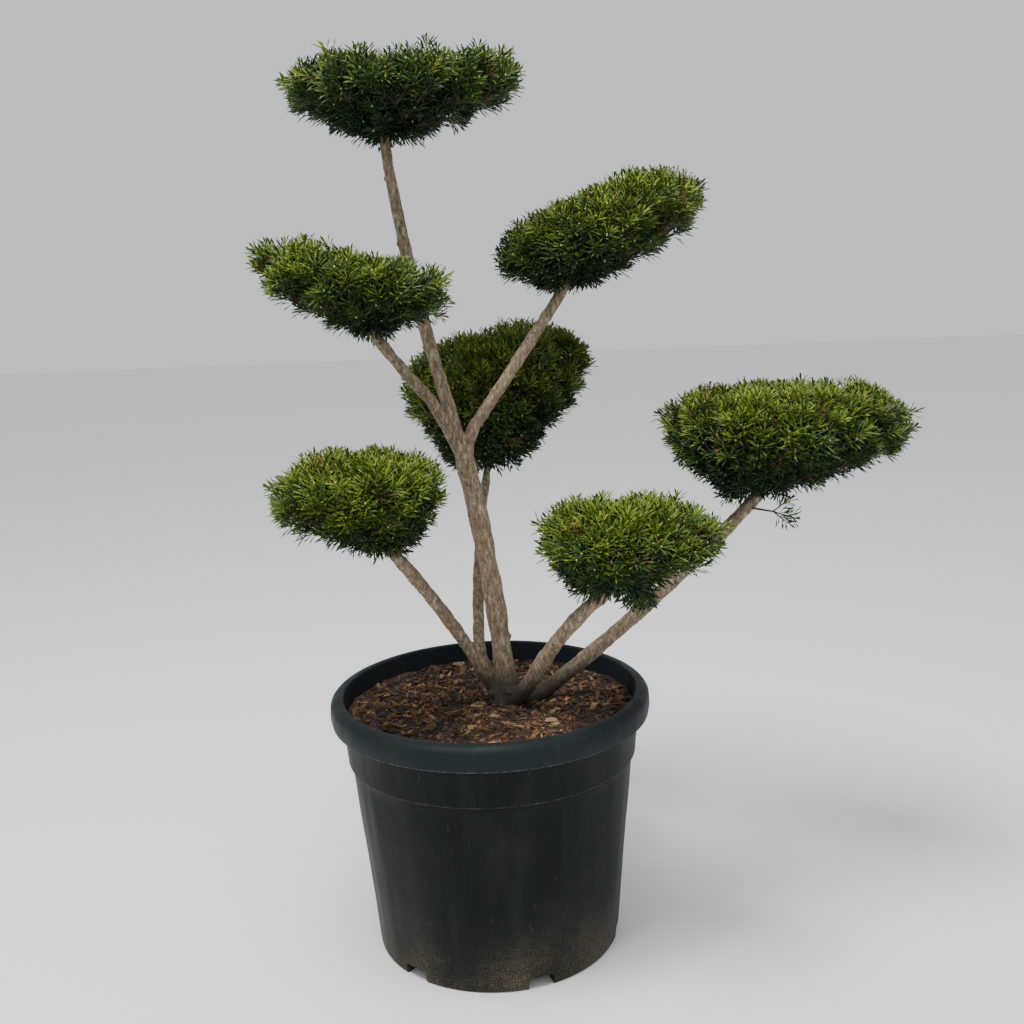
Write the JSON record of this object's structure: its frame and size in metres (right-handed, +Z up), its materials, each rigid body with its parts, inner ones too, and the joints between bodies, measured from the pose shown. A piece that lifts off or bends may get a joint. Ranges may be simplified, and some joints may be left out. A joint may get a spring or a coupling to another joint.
{
  "type": "cloud-pruned hybrid yew in a pot",
  "caption": "Cloud-pruned hybrid yew shrub: a leaning forked trunk and bare stems, each ending in a clipped pad of needles, growing in a round dark nursery pot filled with bark mix.",
  "frame": {"origin": "middle of the pot's underside, on the flat face of its centre boss, level with the foot ring that the pot stands on", "axes": "+Z up, +X towards the side of the longest stem's pad, -Y towards the front that carries the two lowest pads"},
  "size_m": [0.785, 0.5485, 1.0966],
  "materials": {
    "pot_plastic": "dark green-black moulded plastic, scuffed, dusty near the foot",
    "soil_mix": "damp brown bark chips and fibre",
    "bark": "rough grey-brown bark, reddish on the trunk",
    "needles": "dark green needles, bright yellow-green at the clipped tips"
  },
  "bodies": {
    "root": {"pot": "pot_plastic", "soil": "soil_mix", "trunk": "bark", "leader": "bark", "left_bough": "bark", "right_bough": "bark", "rear_stem": "bark", "left_stem": "bark", "front_stem": "bark", "right_stem": "bark", "top_pad": "needles", "upper_left_pad": "needles", "upper_right_pad": "needles", "rear_pad": "needles", "lower_left_pad": "needles", "front_pad": "needles", "right_pad": "needles"}
  },
  "joints": []
}
